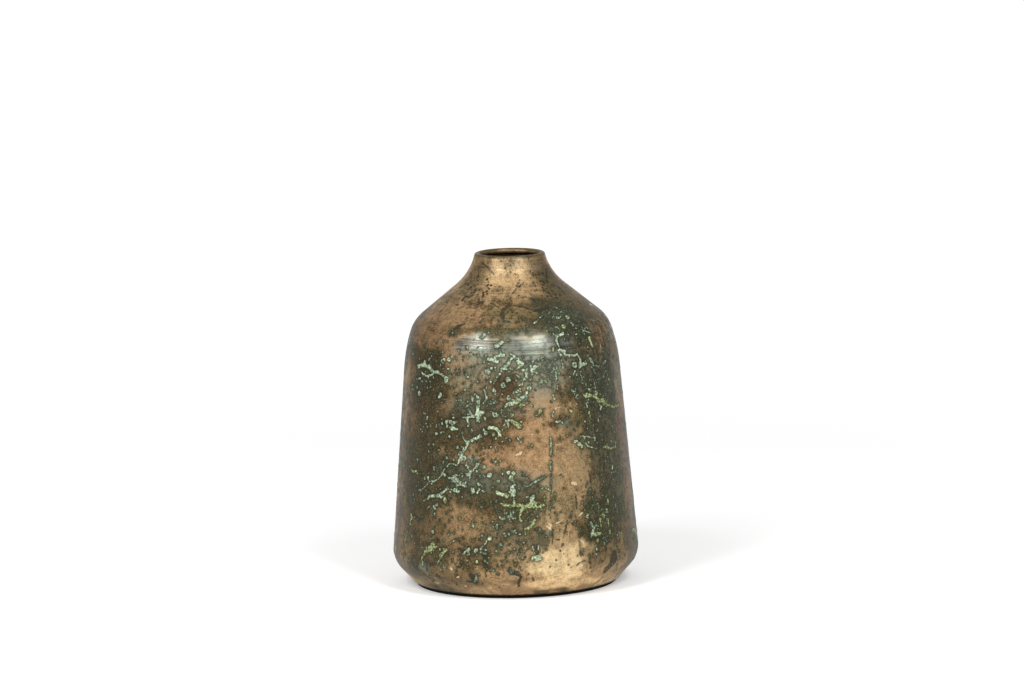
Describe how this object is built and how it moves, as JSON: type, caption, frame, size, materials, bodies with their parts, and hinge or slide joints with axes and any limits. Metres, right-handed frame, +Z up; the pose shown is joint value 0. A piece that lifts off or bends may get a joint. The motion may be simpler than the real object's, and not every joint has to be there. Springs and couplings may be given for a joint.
{
  "type": "metal vase",
  "caption": "Tapering round vase of spun and rolled sheet brass with a sloping shoulder, a short narrow neck, a wired rim and a mottled verdigris patina.",
  "frame": {"origin": "centre of the flat face that the vase stands on", "axes": "+Z up along the axis of the vase towards the mouth; -Y towards the side that the picture shows"},
  "size_m": [0.1856, 0.1856, 0.25],
  "materials": {
    "patinated_brass": "brown and dark green patina with raised verdigris spots, worn golden near the neck and foot",
    "raw_brass": "bare drawn wire",
    "brazing_alloy": "as brazed",
    "black_felt": "pressed wool felt"
  },
  "bodies": {
    "root": {"neck_shell": "patinated_brass", "wall_sheet": "patinated_brass", "base_pan": "patinated_brass", "rim_wire": "raw_brass", "side_braze": "brazing_alloy", "shoulder_braze": "brazing_alloy", "base_braze": "brazing_alloy", "felt_disc": "black_felt"}
  },
  "joints": []
}
